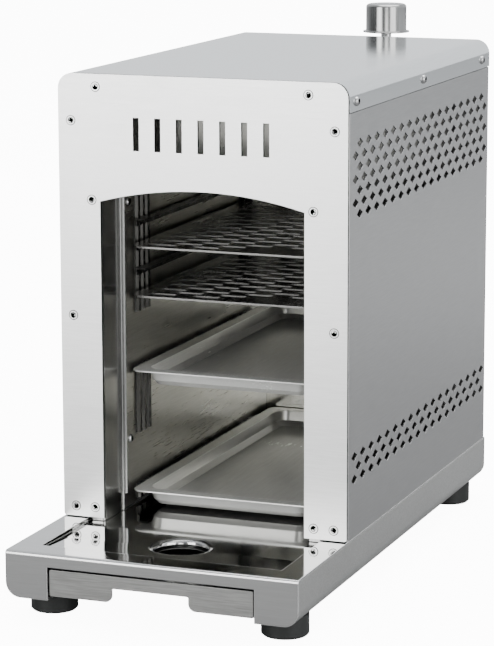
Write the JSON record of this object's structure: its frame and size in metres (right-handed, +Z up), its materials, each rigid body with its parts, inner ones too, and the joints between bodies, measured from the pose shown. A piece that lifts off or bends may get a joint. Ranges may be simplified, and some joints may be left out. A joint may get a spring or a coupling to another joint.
{
  "type": "infrared steak grill",
  "caption": "Tall sheet-steel infrared steak grill: open cooking space with grates and trays on rails, roof burner, rear gas knob and a base with a drip drawer.",
  "frame": {"origin": "middle of the footprint's bounding box, on the surface that the feet stand on", "axes": "+Y from the open front to the gas knob at the rear, +X to the right seen from the front, +Z up"},
  "size_m": [0.2444, 0.5852, 0.434],
  "materials": {
    "front_steel": "satin brushed",
    "side_steel": "satin brushed",
    "cover_steel": "satin, slightly reflective",
    "polished_steel": "mirror polished",
    "base_steel": "brushed",
    "inner_steel": "polished",
    "grate_steel": "satin",
    "tray_steel": "polished",
    "screw_steel": "plain",
    "knob_metal": "satin",
    "brass": "plain",
    "ceramic": "matt ceramic",
    "rubber": "matt"
  },
  "bodies": {
    "housing": {"feet": "rubber", "base_shell": "base_steel", "base_top": "polished_steel", "drawer_rails": "base_steel", "front_plate": "front_steel", "front_frame": "inner_steel", "left_panel": "side_steel", "right_panel": "side_steel", "top_cover": "cover_steel", "cover_screws": "screw_steel", "rear_panel": "side_steel", "left_jamb": "inner_steel", "right_jamb": "inner_steel", "left_liner": "inner_steel", "right_liner": "inner_steel", "back_liner": "inner_steel", "left_posts": "inner_steel", "right_posts": "inner_steel", "left_rails": "inner_steel", "right_rails": "inner_steel", "burner_box": "inner_steel", "burner_frame": "inner_steel", "ceramic_tiles": "ceramic", "heat_shield": "inner_steel", "venturi_tube": "inner_steel", "igniter": "ceramic", "thermocouple": "ceramic", "valve_bracket": "side_steel", "gas_valve": "brass", "valve_nut": "screw_steel", "gas_jet": "brass", "inlet_nipple": "brass"},
    "drawer": {"drip_drawer": "base_steel"},
    "upper_grate_body": {"upper_grate": "grate_steel"},
    "lower_grate_body": {"lower_grate": "grate_steel"},
    "upper_tray_body": {"upper_tray": "tray_steel"},
    "lower_tray_body": {"lower_tray": "tray_steel"},
    "push_body": {"push_sleeve": "screw_steel"},
    "knob_body": {"control_knob": "knob_metal", "valve_stem": "screw_steel"}
  },
  "joints": [
    {"name": "drawer_slide", "type": "slide", "parent": "housing", "child": "drawer", "axis": [0, -1, 0], "range_m": [0, 0.19]},
    {"name": "upper_grate_slide", "type": "slide", "parent": "housing", "child": "upper_grate_body", "axis": [0, -1, 0], "range_m": [0, 0.38]},
    {"name": "lower_grate_slide", "type": "slide", "parent": "housing", "child": "lower_grate_body", "axis": [0, -1, 0], "range_m": [0, 0.38]},
    {"name": "upper_tray_slide", "type": "slide", "parent": "housing", "child": "upper_tray_body", "axis": [0, -1, 0], "range_m": [0, 0.38]},
    {"name": "lower_tray_slide", "type": "slide", "parent": "housing", "child": "lower_tray_body", "axis": [0, -1, 0], "range_m": [0, 0.38]},
    {"name": "knob_push", "type": "slide", "parent": "housing", "child": "push_body", "axis": [0, 0, -1], "range_m": [0, 0.003], "stiffness_N_per_m": 1500, "springref_m": -0.004},
    {"name": "knob_turn", "type": "hinge", "parent": "push_body", "child": "knob_body", "pos_m": [0, 0.2714, 0.4], "axis": [0, 0, 1], "range_deg": [0, 210]}
  ]
}
